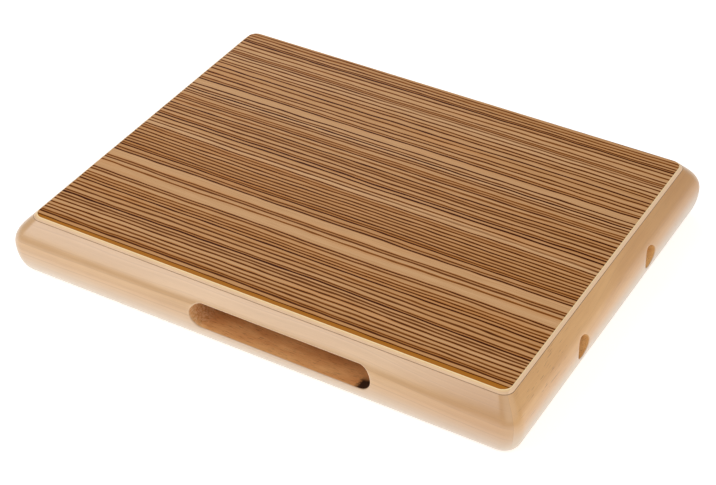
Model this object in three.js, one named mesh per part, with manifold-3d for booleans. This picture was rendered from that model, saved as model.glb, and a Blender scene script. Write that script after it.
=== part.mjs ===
// A flat cajon lying on its back with the playing plate up, in millimetres, +Z up.
// The origin is the middle of the back, on the surface that the drum lies on.
// +X runs along the stripes to the end with the two tension ports, and the long
// side with the hand slot faces -Y.

import * as THREE from 'three';
import { mergeVertices } from 'three/addons/utils/BufferGeometryUtils.js';
import Module from 'manifold-3d';

const wasm = await Module();
wasm.setup();

// Playing plate: face veneer, core and back veneer glued into one thin board
const PLATE_LENGTH = 418;
const PLATE_WIDTH = 323;
const PLATE_CORNER_RADIUS = 8;
const PLATE_BEVEL = 2.35;
const FACE_VENEER_THICKNESS = 0.5;
const CORE_THICKNESS = 1.9;
const BACK_VENEER_THICKNESS = 0.4;

// Body outline: the sides swell from the plate to a widest line and tuck in at the back
const BODY_HEIGHT = 50;
const WIDEST_BELOW_TOP = 25;
const SIDE_SWELL = 16;
const BACK_TUCK = 10;
const BODY_CORNER_RADIUS = 14;
const SHOULDER_FULLNESS = 0.55;
const SIDE_FULLNESS = 0.44;

// Frame of four mitred rails
const RAIL_WIDTH = 34;
const MITRE_GLUE_GAP = 0.1;
const SPLINE_LENGTH = 26;
const SPLINE_WIDTH = 22;
const SPLINE_THICKNESS = 4;
const SPLINE_GAP = 0.3;

// Hand slot in the front rail
const SLOT_LENGTH = 158;
const SLOT_HEIGHT = 22;
const SLOT_CENTRE_X = 27.5;

// Tension ports in the right rail
const PORT_DIAMETER = 19;
const PORT_DEPTH = 24;
const PORT_SPACING = 126;

// Back panel, let into a rabbet round the opening of the frame
const PANEL_THICKNESS = 4;
const RABBET_WIDTH = 12;
const PANEL_CORNER_RADIUS = 6;
const PANEL_EDGE_GAP = 0.25;

// Countersunk wood screws that hold the back panel
const PANEL_SCREW_DIAMETER = 3;
const PANEL_SCREW_HEAD_DIAMETER = 6;
const PANEL_SCREW_LENGTH = 12;
const PANEL_SCREW_TIP = 2.5;
const PANEL_SCREWS_LONG_SIDE = 4;
const PANEL_SCREWS_SHORT_SIDE = 2;
const PANEL_SCREW_CORNER_INSET = 28;
const PANEL_SCREW_SHORT_INSET = 96;
const SCREW_HOLE_GAP = 0.15;
const HEAD_RECESS = 0.2;

// Tension screw with a socket head, and its wide washer
const SCREW_DIAMETER = 6;
const SCREW_LENGTH = 50;
const SCREW_HEAD_DIAMETER = 10;
const SCREW_HEAD_HEIGHT = 6;
const SOCKET_ACROSS_FLATS = 5;
const SOCKET_DEPTH = 3;
const SCREW_HOLE_DIAMETER = 7;
const WASHER_DIAMETER = 18;
const WASHER_BORE = 6.4;
const WASHER_THICKNESS = 1.6;
const SCREW_POINT = 0.8;

// String carrier: a bent steel angle that the screw draws along the back panel
const CARRIER_THICKNESS = 3;
const CARRIER_WIDTH = 28;
const CARRIER_FOOT_LENGTH = 26;
const CARRIER_TO_RAIL = 20;
const CARRIER_HOLE_DIAMETER = 6.6;
const NUT_ACROSS_FLATS = 10;
const NUT_HEIGHT = 5;
const NUT_RUNNING_GAP = 0.05;
const FELT_THICKNESS = 1;
const RUNNING_GAP = 0.3;

// Snare strings with a crimped ferrule at each end
const STRING_DIAMETER = 0.8;
const STRING_SPACING = 16;
const STRING_NOTCH_GAP = 0.1;
const FERRULE_DIAMETER = 1.6;
const FERRULE_LENGTH = 3;
const FERRULE_TO_PLATE = 0.2;
const STRING_SLACK = 3.3;

// String anchor at the left end
const ANCHOR_BLOCK_DEPTH = 16;
const ANCHOR_BLOCK_END_MARGIN = 6;
const ANCHOR_BLOCK_HEIGHT = 24;
const ANCHOR_BLOCK_BELOW_PLATE = 4;
const ANCHOR_PLATE_THICKNESS = 1.5;
const ANCHOR_PLATE_WIDTH = 28;
const ANCHOR_PLATE_HEIGHT = 22;
const ANCHOR_SCREW_DIAMETER = 3;
const ANCHOR_SCREW_HEAD_DIAMETER = 5.6;
const ANCHOR_SCREW_HEAD_HEIGHT = 2;
const ANCHOR_SCREW_LENGTH = 12;
const ANCHOR_SCREW_SPACING = 18;
const ANCHOR_SCREW_ABOVE_EDGE = 7;

// Facets
const CORNER_SEGMENTS = 8;
const PROFILE_SEGMENTS = 9;
const SLOT_END_SEGMENTS = 16;
const BORE_SEGMENTS = 24;
const SMALL_SEGMENTS = 12;
const STRING_SEGMENTS = 8;

// Sizes that follow from the driving ones
const BODY_LENGTH = PLATE_LENGTH + 2 * SIDE_SWELL;
const BODY_WIDTH = PLATE_WIDTH + 2 * SIDE_SWELL;
const PLATE_THICKNESS = FACE_VENEER_THICKNESS + CORE_THICKNESS + BACK_VENEER_THICKNESS;
const PLATE_INNER_Z = BODY_HEIGHT - PLATE_THICKNESS;
const WIDEST_Z = BODY_HEIGHT - WIDEST_BELOW_TOP;
const CAVITY_HALF_X = BODY_LENGTH / 2 - RAIL_WIDTH;
const CAVITY_HALF_Y = BODY_WIDTH / 2 - RAIL_WIDTH;
const PORT_FLOOR_X = BODY_LENGTH / 2 - PORT_DEPTH;
const HEAD_SEAT_X = PORT_FLOOR_X + WASHER_THICKNESS;
const STRING_Z = PLATE_INNER_Z - FERRULE_TO_PLATE - FERRULE_DIAMETER / 2;
const CARRIER_RIGHT_X = CAVITY_HALF_X - CARRIER_TO_RAIL;
const CARRIER_LEFT_X = CARRIER_RIGHT_X - CARRIER_THICKNESS;
const CARRIER_TOP_Z = PLATE_INNER_Z - RUNNING_GAP;
const FELT_BOTTOM_Z = PANEL_THICKNESS + RUNNING_GAP;
const FOOT_BOTTOM_Z = FELT_BOTTOM_Z + FELT_THICKNESS;
const ANCHOR_FACE_X = -CAVITY_HALF_X + ANCHOR_BLOCK_DEPTH;
const ANCHOR_BLOCK_WIDTH = PORT_SPACING + ANCHOR_PLATE_WIDTH + 2 * ANCHOR_BLOCK_END_MARGIN;
const ANCHOR_BLOCK_TOP_Z = PLATE_INNER_Z - ANCHOR_BLOCK_BELOW_PLATE;
const ANCHOR_PLATE_BOTTOM_Z = CARRIER_TOP_Z - ANCHOR_PLATE_HEIGHT;
const REACH = Math.max(BODY_LENGTH, BODY_WIDTH);

// Materials
const paint = (color, roughness, metalness = 0) =>
  new THREE.MeshStandardMaterial({ color, roughness, metalness });
const MATERIALS = {
  stripedVeneer: paint(0xa87848, 0.35),
  lightPly: paint(0xd8ba95, 0.5),
  darkVeneer: paint(0x8a6238, 0.6),
  frameWood: paint(0xdcb98f, 0.4),
  hardwood: paint(0xc49a68, 0.6),
  plywood: paint(0xcfac7c, 0.6),
  steel: paint(0xb9bcc0, 0.35, 1),
  zinc: paint(0xc8c4b4, 0.4, 1),
  felt: paint(0x3c3c40, 0.95),
};

// Turning three.js geometries into solids that can be joined and cut, and back
function toSolid(geometry) {
  const bare = geometry.clone();
  bare.deleteAttribute('normal');
  bare.deleteAttribute('uv');
  const merged = mergeVertices(bare);
  const index = merged.getIndex();
  const corners = [];
  for (let i = 0; i < index.count; i += 3) {
    const [a, b, c] = [index.getX(i), index.getX(i + 1), index.getX(i + 2)];
    if (a !== b && b !== c && c !== a) corners.push(a, b, c);
  }
  const mesh = new wasm.Mesh({
    numProp: 3,
    vertProperties: Float32Array.from(merged.getAttribute('position').array),
    triVerts: Uint32Array.from(corners),
  });
  return new wasm.Manifold(mesh);
}

function toGeometry(solid) {
  const mesh = solid.getMesh();
  const geometry = new THREE.BufferGeometry();
  const positions = Float32Array.from(mesh.vertProperties);
  geometry.setAttribute('position', new THREE.BufferAttribute(positions, 3));
  geometry.setIndex(Array.from(mesh.triVerts));
  geometry.computeVertexNormals();
  return geometry;
}

function cut(geometry, tools) {
  const solid = tools.reduce((left, tool) => left.subtract(toSolid(tool)), toSolid(geometry));
  return toGeometry(solid);
}

// Plain shapes
function box(x, y, z) {
  const geometry = new THREE.BoxGeometry(x[1] - x[0], y[1] - y[0], z[1] - z[0]);
  return geometry.translate((x[0] + x[1]) / 2, (y[0] + y[1]) / 2, (z[0] + z[1]) / 2);
}

function cylinderAlongX(x, y, z, diameter, segments) {
  const geometry = new THREE.CylinderGeometry(diameter / 2, diameter / 2, x[1] - x[0], segments);
  return geometry.rotateZ(-Math.PI / 2).translate((x[0] + x[1]) / 2, y, z);
}

// A turned piece whose profile holds [radius, distance along the axis] pairs
function turned(profile, segments) {
  const points = profile.map(([radius, along]) => new THREE.Vector2(radius, along));
  return new THREE.LatheGeometry(points, segments);
}

const alongX = (geometry) => geometry.rotateZ(-Math.PI / 2);
const alongZ = (geometry) => geometry.rotateX(Math.PI / 2);

// Outside of the body: [distance below the top, swell past the edge of the plate]
function sideProfile() {
  const shoulder = SHOULDER_FULLNESS * (SIDE_SWELL - PLATE_BEVEL);
  const upper = new THREE.CubicBezierCurve(
    new THREE.Vector2(PLATE_BEVEL, PLATE_BEVEL),
    new THREE.Vector2(PLATE_BEVEL + shoulder, PLATE_BEVEL + shoulder),
    new THREE.Vector2(WIDEST_BELOW_TOP - SIDE_FULLNESS * (WIDEST_BELOW_TOP - PLATE_BEVEL), SIDE_SWELL),
    new THREE.Vector2(WIDEST_BELOW_TOP, SIDE_SWELL),
  );
  const points = [new THREE.Vector2(0, 0), ...upper.getPoints(PROFILE_SEGMENTS)];
  for (let i = 1; i <= PROFILE_SEGMENTS; i += 1) {
    const angle = (Math.PI / 2) * (i / PROFILE_SEGMENTS);
    points.push(new THREE.Vector2(
      WIDEST_BELOW_TOP + (BODY_HEIGHT - WIDEST_BELOW_TOP) * Math.sin(angle),
      SIDE_SWELL - BACK_TUCK * (1 - Math.cos(angle)),
    ));
  }
  return points;
}

const SIDE_PROFILE = sideProfile();

function swellAt(depth) {
  const next = SIDE_PROFILE.findIndex((point) => point.x >= depth);
  if (next < 0) return SIDE_PROFILE[SIDE_PROFILE.length - 1].y;
  if (next === 0) return SIDE_PROFILE[0].y;
  const [above, below] = [SIDE_PROFILE[next - 1], SIDE_PROFILE[next]];
  return above.y + ((below.y - above.y) * (depth - above.x)) / (below.x - above.x);
}

// Rounded rectangle of the body at one depth, counterclockwise seen from above
function outlineRing(depth) {
  const swell = swellAt(depth);
  const growth = (BODY_CORNER_RADIUS - PLATE_CORNER_RADIUS) * (swell / SIDE_SWELL);
  const radius = PLATE_CORNER_RADIUS + growth;
  const centreX = PLATE_LENGTH / 2 + swell - radius;
  const centreY = PLATE_WIDTH / 2 + swell - radius;
  const ring = [];
  [[1, 1], [-1, 1], [-1, -1], [1, -1]].forEach(([signX, signY], corner) => {
    for (let i = 0; i <= CORNER_SEGMENTS; i += 1) {
      const angle = (Math.PI / 2) * (corner + i / CORNER_SEGMENTS);
      const x = signX * centreX + radius * Math.cos(angle);
      const y = signY * centreY + radius * Math.sin(angle);
      ring.push([x, y, BODY_HEIGHT - depth]);
    }
  });
  return ring;
}

// Closed slice of the body between two depths below the top
function bodySlice(topDepth, bottomDepth) {
  const inner = SIDE_PROFILE.map((point) => point.x).filter((d) => d > topDepth && d < bottomDepth);
  const rings = [topDepth, ...inner, bottomDepth].map(outlineRing);
  const size = rings[0].length;
  const corners = [];
  for (let level = 0; level + 1 < rings.length; level += 1) {
    for (let i = 0; i < size; i += 1) {
      const next = (i + 1) % size;
      const [a, b] = [level * size + i, level * size + next];
      const [c, d] = [b + size, a + size];
      corners.push(a, d, b, b, d, c);
    }
  }
  const last = (rings.length - 1) * size;
  for (let i = 1; i + 1 < size; i += 1) {
    corners.push(0, i, i + 1, last, last + i + 1, last + i);
  }
  const geometry = new THREE.BufferGeometry();
  geometry.setAttribute('position', new THREE.Float32BufferAttribute(rings.flat(2), 3));
  geometry.setIndex(corners);
  geometry.computeVertexNormals();
  return geometry;
}

// Flat board with rounded corners between two heights
function roundedBoard(halfX, halfY, radius, z) {
  const shape = new THREE.Shape();
  shape.absarc(halfX - radius, halfY - radius, radius, 0, Math.PI / 2);
  shape.absarc(radius - halfX, halfY - radius, radius, Math.PI / 2, Math.PI);
  shape.absarc(radius - halfX, radius - halfY, radius, Math.PI, 1.5 * Math.PI);
  shape.absarc(halfX - radius, radius - halfY, radius, 1.5 * Math.PI, 2 * Math.PI);
  const settings = { depth: z[1] - z[0], bevelEnabled: false, curveSegments: CORNER_SEGMENTS };
  return new THREE.ExtrudeGeometry(shape, settings).translate(0, 0, z[0]);
}

// Countersunk screws of the back panel, point up, heads just below the back face
function panelScrewPlaces() {
  const lineX = CAVITY_HALF_X + RABBET_WIDTH / 2;
  const lineY = CAVITY_HALF_Y + RABBET_WIDTH / 2;
  const spread = (half, count) => (i) => -half + (2 * half * i) / (count - 1);
  const longPlace = spread(lineX - PANEL_SCREW_CORNER_INSET, PANEL_SCREWS_LONG_SIDE);
  const shortPlace = spread(lineY - PANEL_SCREW_SHORT_INSET, PANEL_SCREWS_SHORT_SIDE);
  const places = [];
  for (const side of [-1, 1]) {
    for (let i = 0; i < PANEL_SCREWS_LONG_SIDE; i += 1) places.push([longPlace(i), side * lineY]);
    for (let i = 0; i < PANEL_SCREWS_SHORT_SIDE; i += 1) places.push([side * lineX, shortPlace(i)]);
  }
  return places;
}

function panelScrew(gap) {
  const head = PANEL_SCREW_HEAD_DIAMETER / 2 + gap;
  const shank = PANEL_SCREW_DIAMETER / 2 + gap;
  const start = gap > 0 ? -HEAD_RECESS : HEAD_RECESS;
  const cone = HEAD_RECESS + PANEL_SCREW_HEAD_DIAMETER / 2 - PANEL_SCREW_DIAMETER / 2;
  const profile = [
    [0, start],
    [head, start],
    [head, HEAD_RECESS],
    [shank, cone],
    [shank, PANEL_SCREW_LENGTH - PANEL_SCREW_TIP],
    [0, PANEL_SCREW_LENGTH + gap],
  ];
  const distinct = profile.filter(([r, z], i) => i === 0 || r !== profile[i - 1][0] || z !== profile[i - 1][1]);
  return alongZ(turned(distinct, SMALL_SEGMENTS));
}

function panelScrewSet(gap) {
  return panelScrewPlaces().map(([x, y]) => panelScrew(gap).translate(x, y, 0));
}

// Rails: the frame ring cut along its mitres
function frameRing() {
  const outside = bodySlice(PLATE_THICKNESS, BODY_HEIGHT);
  const cavity = box(
    [-CAVITY_HALF_X, CAVITY_HALF_X],
    [-CAVITY_HALF_Y, CAVITY_HALF_Y],
    [-BODY_HEIGHT, 2 * BODY_HEIGHT],
  );
  const rabbet = roundedBoard(
    CAVITY_HALF_X + RABBET_WIDTH,
    CAVITY_HALF_Y + RABBET_WIDTH,
    PANEL_CORNER_RADIUS,
    [-PANEL_THICKNESS, PANEL_THICKNESS],
  );
  return cut(outside, [cavity, rabbet, ...cornerSplines(SPLINE_GAP), ...panelScrewSet(SCREW_HOLE_GAP)]);
}

// Wedge that holds one rail: its ends are the mitre planes at 45 degrees
function railWedge(side) {
  const alongHalf = side.axis === 'x' ? CAVITY_HALF_X : CAVITY_HALF_Y;
  const acrossHalf = side.axis === 'x' ? CAVITY_HALF_Y : CAVITY_HALF_X;
  const glue = MITRE_GLUE_GAP / Math.SQRT2;
  const inward = RAIL_WIDTH / 2;
  const outward = 2 * RAIL_WIDTH;
  const corners = [
    [-(alongHalf - inward - glue), acrossHalf - inward],
    [alongHalf - inward - glue, acrossHalf - inward],
    [alongHalf + outward - glue, acrossHalf + outward],
    [-(alongHalf + outward - glue), acrossHalf + outward],
  ];
  const shape = new THREE.Shape(corners.map(([along, across]) => new THREE.Vector2(along, across)));
  const settings = { depth: 3 * BODY_HEIGHT, bevelEnabled: false };
  const wedge = new THREE.ExtrudeGeometry(shape, settings).translate(0, 0, -BODY_HEIGHT);
  return wedge.rotateZ(side.turn);
}

const FRONT = { axis: 'x', turn: Math.PI };
const REAR = { axis: 'x', turn: 0 };
const LEFT = { axis: 'y', turn: Math.PI / 2 };
const RIGHT = { axis: 'y', turn: -Math.PI / 2 };

function rail(ring, side, tools = []) {
  const solid = toSolid(ring).intersect(toSolid(railWedge(side)));
  return cut(toGeometry(solid), tools);
}

function handSlot() {
  const half = (SLOT_LENGTH - SLOT_HEIGHT) / 2;
  const radius = SLOT_HEIGHT / 2;
  const shape = new THREE.Shape();
  shape.absarc(half, 0, radius, -Math.PI / 2, Math.PI / 2);
  shape.absarc(-half, 0, radius, Math.PI / 2, 1.5 * Math.PI);
  const settings = { depth: 2 * RAIL_WIDTH, bevelEnabled: false, curveSegments: SLOT_END_SEGMENTS };
  const slot = new THREE.ExtrudeGeometry(shape, settings).rotateX(Math.PI / 2);
  return slot.translate(SLOT_CENTRE_X, -CAVITY_HALF_Y + RAIL_WIDTH / 2, WIDEST_Z);
}

const SNARE_SIDES = [
  { name: 'front', y: -PORT_SPACING / 2 },
  { name: 'rear', y: PORT_SPACING / 2 },
];

function portBores() {
  return SNARE_SIDES.flatMap(({ y }) => [
    cylinderAlongX([PORT_FLOOR_X, BODY_LENGTH], y, WIDEST_Z, PORT_DIAMETER, BORE_SEGMENTS),
    cylinderAlongX([0, BODY_LENGTH], y, WIDEST_Z, SCREW_HOLE_DIAMETER, BORE_SEGMENTS),
  ]);
}

// Loose tongues across the mitres, on the middle of each joint
function cornerSpline(signX, signY, gap) {
  const half = [SPLINE_LENGTH / 2 + gap, SPLINE_WIDTH / 2 + gap, SPLINE_THICKNESS / 2 + gap];
  const tongue = box([-half[0], half[0]], [-half[1], half[1]], [-half[2], half[2]]);
  const middle = RAIL_WIDTH / 2;
  const offset = middle - (BODY_CORNER_RADIUS * (Math.SQRT2 - 1)) / Math.SQRT2 / 2;
  tongue.rotateZ((signX * signY * Math.PI) / 4);
  return tongue.translate(
    signX * (CAVITY_HALF_X + offset),
    signY * (CAVITY_HALF_Y + offset),
    WIDEST_Z,
  );
}

const CORNERS = [
  { name: 'front_left', signX: -1, signY: -1 },
  { name: 'front_right', signX: 1, signY: -1 },
  { name: 'rear_left', signX: -1, signY: 1 },
  { name: 'rear_right', signX: 1, signY: 1 },
];

function cornerSplines(gap) {
  return CORNERS.map(({ signX, signY }) => cornerSpline(signX, signY, gap));
}

function backPanel() {
  const board = roundedBoard(
    CAVITY_HALF_X + RABBET_WIDTH - PANEL_EDGE_GAP,
    CAVITY_HALF_Y + RABBET_WIDTH - PANEL_EDGE_GAP,
    PANEL_CORNER_RADIUS - PANEL_EDGE_GAP,
    [0, PANEL_THICKNESS],
  );
  return cut(board, panelScrewSet(SCREW_HOLE_GAP));
}

// Tension screw: socket head in the port, shank through the rail into the carrier
function tensionScrew() {
  const radius = SCREW_DIAMETER / 2;
  const profile = [
    [0, -SCREW_LENGTH],
    [radius - SCREW_POINT, -SCREW_LENGTH],
    [radius, -SCREW_LENGTH + SCREW_POINT],
    [radius, 0],
    [SCREW_HEAD_DIAMETER / 2, 0],
    [SCREW_HEAD_DIAMETER / 2, SCREW_HEAD_HEIGHT],
    [0, SCREW_HEAD_HEIGHT],
  ];
  const body = alongX(turned(profile, BORE_SEGMENTS));
  const socketRadius = SOCKET_ACROSS_FLATS / Math.sqrt(3);
  const socket = cylinderAlongX(
    [SCREW_HEAD_HEIGHT - SOCKET_DEPTH, SCREW_HEAD_HEIGHT + SOCKET_DEPTH],
    0,
    0,
    2 * socketRadius,
    6,
  );
  return cut(body, [socket]);
}

function ring(outer, bore, height, outerSegments) {
  const solid = cylinderAlongX([0, height], 0, 0, outer, outerSegments);
  return cut(solid, [cylinderAlongX([-height, 2 * height], 0, 0, bore, BORE_SEGMENTS)]);
}

function carrierNut() {
  const across = (2 * NUT_ACROSS_FLATS) / Math.sqrt(3);
  const bore = SCREW_DIAMETER / Math.cos(Math.PI / BORE_SEGMENTS) + 2 * NUT_RUNNING_GAP;
  return ring(across, bore, NUT_HEIGHT, 6);
}

// Notches, open at the top, that two strings lie in
function stringNotches(x) {
  const half = STRING_DIAMETER / 2 + STRING_NOTCH_GAP;
  return [-1, 1].map((side) => {
    const y = (side * STRING_SPACING) / 2;
    return box([x - REACH, x + REACH], [y - half, y + half], [STRING_Z - half, 2 * BODY_HEIGHT]);
  });
}

// Carrier angle in its own frame: x and z as in the drum, y from the middle of its port
function stringCarrier() {
  const upright = box(
    [CARRIER_LEFT_X, CARRIER_RIGHT_X],
    [-CARRIER_WIDTH / 2, CARRIER_WIDTH / 2],
    [FOOT_BOTTOM_Z, CARRIER_TOP_Z],
  );
  const foot = box(
    [CARRIER_RIGHT_X - CARRIER_FOOT_LENGTH, CARRIER_RIGHT_X],
    [-CARRIER_WIDTH / 2, CARRIER_WIDTH / 2],
    [FOOT_BOTTOM_Z, FOOT_BOTTOM_Z + CARRIER_THICKNESS],
  );
  const angle = toGeometry(toSolid(upright).add(toSolid(foot)));
  const hole = cylinderAlongX([0, BODY_LENGTH], 0, WIDEST_Z, CARRIER_HOLE_DIAMETER, BORE_SEGMENTS);
  return cut(angle, [hole, ...stringNotches(CARRIER_LEFT_X)]);
}

function carrierFelt() {
  return box(
    [CARRIER_RIGHT_X - CARRIER_FOOT_LENGTH, CARRIER_RIGHT_X],
    [-CARRIER_WIDTH / 2, CARRIER_WIDTH / 2],
    [FELT_BOTTOM_Z, FOOT_BOTTOM_Z],
  );
}

// One string: the left ferrule waits behind the anchor plate, the right one behind the carrier
function snareString() {
  const [wire, ferrule] = [STRING_DIAMETER / 2, FERRULE_DIAMETER / 2];
  const left = ANCHOR_FACE_X - STRING_SLACK;
  const profile = [
    [0, left - FERRULE_LENGTH],
    [ferrule, left - FERRULE_LENGTH],
    [ferrule, left],
    [wire, left],
    [wire, CARRIER_RIGHT_X],
    [ferrule, CARRIER_RIGHT_X],
    [ferrule, CARRIER_RIGHT_X + FERRULE_LENGTH],
    [0, CARRIER_RIGHT_X + FERRULE_LENGTH],
  ];
  return alongX(turned(profile, STRING_SEGMENTS));
}

// Anchor plate screws: [y from the middle of the plate, z]
function anchorScrewPlaces() {
  const z = ANCHOR_PLATE_BOTTOM_Z + ANCHOR_SCREW_ABOVE_EDGE;
  return [-1, 1].map((side) => [(side * ANCHOR_SCREW_SPACING) / 2, z]);
}

function anchorScrew() {
  const seat = ANCHOR_FACE_X + ANCHOR_PLATE_THICKNESS;
  const radius = ANCHOR_SCREW_DIAMETER / 2;
  const end = seat - ANCHOR_SCREW_LENGTH;
  const profile = [
    [0, end],
    [radius, end + 2 * radius],
    [radius, seat],
    [ANCHOR_SCREW_HEAD_DIAMETER / 2, seat],
    [ANCHOR_SCREW_HEAD_DIAMETER / 2, seat + ANCHOR_SCREW_HEAD_HEIGHT / 2],
    [ANCHOR_SCREW_HEAD_DIAMETER / 4, seat + ANCHOR_SCREW_HEAD_HEIGHT],
    [0, seat + ANCHOR_SCREW_HEAD_HEIGHT],
  ];
  return alongX(turned(profile, SMALL_SEGMENTS));
}

function anchorScrewHoles(middleY) {
  const end = ANCHOR_FACE_X + ANCHOR_PLATE_THICKNESS - ANCHOR_SCREW_LENGTH - SCREW_HOLE_GAP;
  const diameter = ANCHOR_SCREW_DIAMETER + 2 * SCREW_HOLE_GAP;
  return anchorScrewPlaces().map(([y, z]) =>
    cylinderAlongX([end, CAVITY_HALF_X], middleY + y, z, diameter, SMALL_SEGMENTS));
}

function anchorPlate() {
  const plate = box(
    [ANCHOR_FACE_X, ANCHOR_FACE_X + ANCHOR_PLATE_THICKNESS],
    [-ANCHOR_PLATE_WIDTH / 2, ANCHOR_PLATE_WIDTH / 2],
    [ANCHOR_PLATE_BOTTOM_Z, CARRIER_TOP_Z],
  );
  return cut(plate, [...anchorScrewHoles(0), ...stringNotches(ANCHOR_FACE_X)]);
}

function anchorBlock() {
  const block = box(
    [-CAVITY_HALF_X, ANCHOR_FACE_X],
    [-ANCHOR_BLOCK_WIDTH / 2, ANCHOR_BLOCK_WIDTH / 2],
    [ANCHOR_BLOCK_TOP_Z - ANCHOR_BLOCK_HEIGHT, ANCHOR_BLOCK_TOP_Z],
  );
  return cut(block, SNARE_SIDES.flatMap(({ y }) => anchorScrewHoles(y)));
}

// Scene graph
const drum = new THREE.Group();

function piece(name, geometry, material, parent = drum) {
  const mesh = new THREE.Mesh(geometry, material);
  mesh.name = name;
  parent.add(mesh);
  return mesh;
}

// Playing plate
const coreTop = FACE_VENEER_THICKNESS;
const coreBottom = FACE_VENEER_THICKNESS + CORE_THICKNESS;
piece('tapa_face_veneer', bodySlice(0, coreTop), MATERIALS.stripedVeneer);
piece('tapa_core', bodySlice(coreTop, coreBottom), MATERIALS.lightPly);
piece('tapa_back_veneer', bodySlice(coreBottom, PLATE_THICKNESS), MATERIALS.darkVeneer);

// Frame and back
const frame = frameRing();
piece('front_rail', rail(frame, FRONT, [handSlot()]), MATERIALS.frameWood);
piece('rear_rail', rail(frame, REAR), MATERIALS.frameWood);
piece('left_rail', rail(frame, LEFT), MATERIALS.frameWood);
piece('right_rail', rail(frame, RIGHT, portBores()), MATERIALS.frameWood);
CORNERS.forEach(({ name, signX, signY }) => {
  piece(`corner_spline_${name}`, cornerSpline(signX, signY, 0), MATERIALS.hardwood);
});
piece('back_panel', backPanel(), MATERIALS.plywood);
panelScrewSet(0).forEach((screw, i) => {
  piece(`back_panel_screw_${i + 1}`, screw, MATERIALS.zinc);
});

// Snare anchor
piece('string_anchor_block', anchorBlock(), MATERIALS.hardwood);

// Snare strings and their tension gear, once for each port
SNARE_SIDES.forEach(({ name, y }) => {
  const gear = new THREE.Group();
  gear.position.set(0, y, 0);
  drum.add(gear);
  piece(`anchor_plate_${name}`, anchorPlate(), MATERIALS.steel, gear);
  anchorScrewPlaces().forEach(([offset, z], i) => {
    const screw = piece(`anchor_screw_${name}_${i + 1}`, anchorScrew(), MATERIALS.zinc, gear);
    screw.position.set(0, offset, z);
  });
  piece(`string_carrier_${name}`, stringCarrier(), MATERIALS.steel, gear);
  piece(`carrier_felt_${name}`, carrierFelt(), MATERIALS.felt, gear);
  const nut = piece(`carrier_nut_${name}`, carrierNut(), MATERIALS.zinc, gear);
  nut.position.set(CARRIER_LEFT_X - NUT_HEIGHT, 0, WIDEST_Z);
  const washer = ring(WASHER_DIAMETER, WASHER_BORE, WASHER_THICKNESS, BORE_SEGMENTS);
  piece(`tension_washer_${name}`, washer, MATERIALS.zinc, gear).position.set(PORT_FLOOR_X, 0, WIDEST_Z);
  piece(`tension_screw_${name}`, tensionScrew(), MATERIALS.steel, gear).position.set(HEAD_SEAT_X, 0, WIDEST_Z);
  [-1, 1].forEach((side, i) => {
    const string = piece(`snare_string_${name}_${i + 1}`, snareString(), MATERIALS.steel, gear);
    string.position.set(0, (side * STRING_SPACING) / 2, STRING_Z);
  });
});

export default drum;
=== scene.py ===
import math

import bpy
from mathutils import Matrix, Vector
from mathutils.geometry import delaunay_2d_cdt


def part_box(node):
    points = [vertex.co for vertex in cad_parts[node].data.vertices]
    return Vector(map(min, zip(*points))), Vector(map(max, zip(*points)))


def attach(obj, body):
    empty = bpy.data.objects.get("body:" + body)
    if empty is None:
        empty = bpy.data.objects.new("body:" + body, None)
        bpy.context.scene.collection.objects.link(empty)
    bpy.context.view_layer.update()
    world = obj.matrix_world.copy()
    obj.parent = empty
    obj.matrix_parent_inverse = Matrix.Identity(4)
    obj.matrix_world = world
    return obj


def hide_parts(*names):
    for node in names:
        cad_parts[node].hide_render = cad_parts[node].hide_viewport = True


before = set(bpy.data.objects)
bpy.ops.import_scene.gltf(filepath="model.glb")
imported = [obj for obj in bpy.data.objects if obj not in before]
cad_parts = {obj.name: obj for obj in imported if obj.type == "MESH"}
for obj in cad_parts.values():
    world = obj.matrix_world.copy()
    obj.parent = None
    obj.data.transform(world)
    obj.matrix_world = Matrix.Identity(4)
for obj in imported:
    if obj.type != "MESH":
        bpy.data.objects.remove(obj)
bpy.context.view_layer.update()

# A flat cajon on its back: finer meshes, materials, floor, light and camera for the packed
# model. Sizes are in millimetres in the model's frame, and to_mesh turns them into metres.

MM = 0.001


def box_mm(node):
    """Lowest corner, highest corner and middle of a CAD node, in millimetres."""
    low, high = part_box(node)
    low, high = low / MM, high / MM
    return low, high, (low + high) / 2


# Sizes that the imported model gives
FACE_LOW, FACE_HIGH = box_mm("tapa_face_veneer")[:2]
PLATE_TOP_Z = FACE_HIGH.z
VENEER_DEPTH = PLATE_TOP_Z - FACE_LOW.z
CORE_DEPTH = PLATE_TOP_Z - box_mm("tapa_core")[0].z
PLATE_DEPTH = PLATE_TOP_Z - box_mm("tapa_back_veneer")[0].z
PLATE_HALF_X = FACE_HIGH.x - VENEER_DEPTH
PLATE_HALF_Y = FACE_HIGH.y - VENEER_DEPTH
CAVITY_HALF_X = box_mm("right_rail")[0].x
CAVITY_HALF_Y = box_mm("rear_rail")[0].y
SIDE_SWELL = box_mm("right_rail")[1].x - PLATE_HALF_X
PANEL_TOP_Z = box_mm("back_panel")[1].z
PORT_FLOOR_X = box_mm("tension_washer_front")[0].x
WASHER_LOW, WASHER_HIGH = box_mm("tension_washer_rear")[:2]
PORT_Y = (WASHER_LOW.y + WASHER_HIGH.y) / 2
PORT_Z = (WASHER_LOW.z + WASHER_HIGH.z) / 2

# Sizes of the body that a box doesn't give, as in the CAD model
PLATE_BEVEL = 2.35
PLATE_CORNER_RADIUS = 8
BODY_CORNER_RADIUS = 14
WIDEST_DEPTH = 25
BACK_TUCK = 10
SHOULDER_FULLNESS = 0.55
SIDE_FULLNESS = 0.44
RABBET_WIDTH = 12
RABBET_CORNER_RADIUS = 6
SLOT_LENGTH = 158
SLOT_HEIGHT = 22
SLOT_CENTRE_X = 27.5
PORT_DIAMETER = 19
SCREW_HOLE_DIAMETER = 7

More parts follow.
